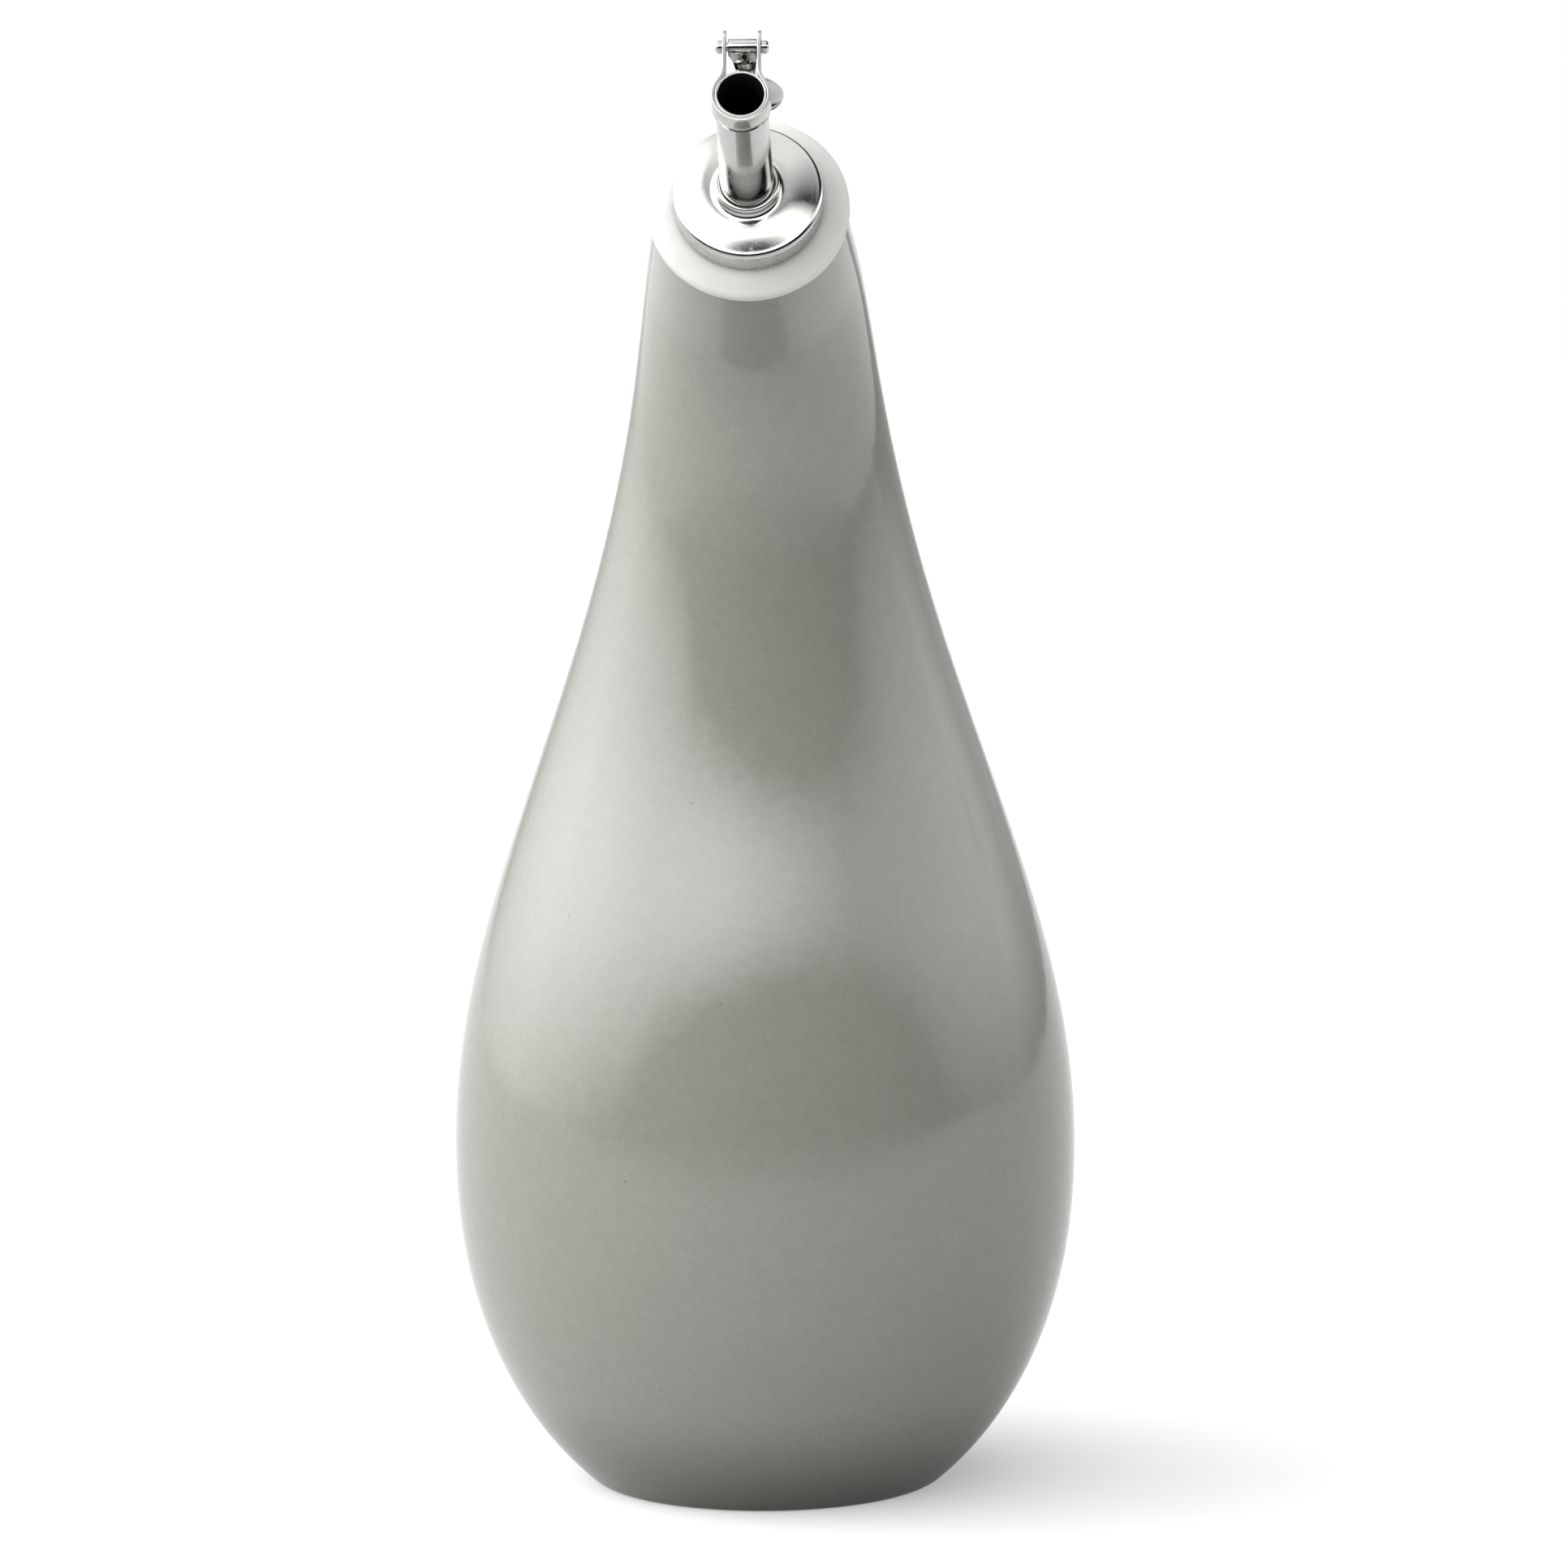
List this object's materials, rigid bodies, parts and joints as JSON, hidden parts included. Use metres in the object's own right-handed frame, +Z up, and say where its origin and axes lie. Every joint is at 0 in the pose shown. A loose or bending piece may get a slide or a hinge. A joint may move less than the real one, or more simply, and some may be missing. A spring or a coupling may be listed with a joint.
{
  "type": "oil dispenser bottle",
  "caption": "Gourd-shaped glazed stoneware bottle with a forward-bent neck, soft finned stopper, steel cover and pouring spout with a hinged flip lid.",
  "frame": {"origin": "centre of the foot on the table", "axes": "+Z up along the body's axis, the neck and spout lean towards -Y, +X to the right seen from the front"},
  "size_m": [0.1068, 0.1403, 0.255],
  "materials": {
    "glaze": "gloss",
    "silicone": "satin",
    "steel": "polished"
  },
  "bodies": {
    "bottle": {"bottle": "glaze"},
    "pourer": {"stopper": "silicone", "cover": "steel", "spout": "steel", "breather": "steel", "hinge_strap": "steel", "hinge_pin": "steel"},
    "lid": {"flip_lid": "steel"}
  },
  "joints": [
    {"name": "stopper_pull", "type": "slide", "parent": "bottle", "child": "pourer", "axis": [0, -0.8462, 0.5329], "range_m": [0, 0.02]},
    {"name": "lid_hinge", "type": "hinge", "parent": "pourer", "child": "lid", "pos_m": [0, -0.0774, 0.25238], "axis": [1, 0, 0], "range_deg": [0, 275.03]}
  ]
}
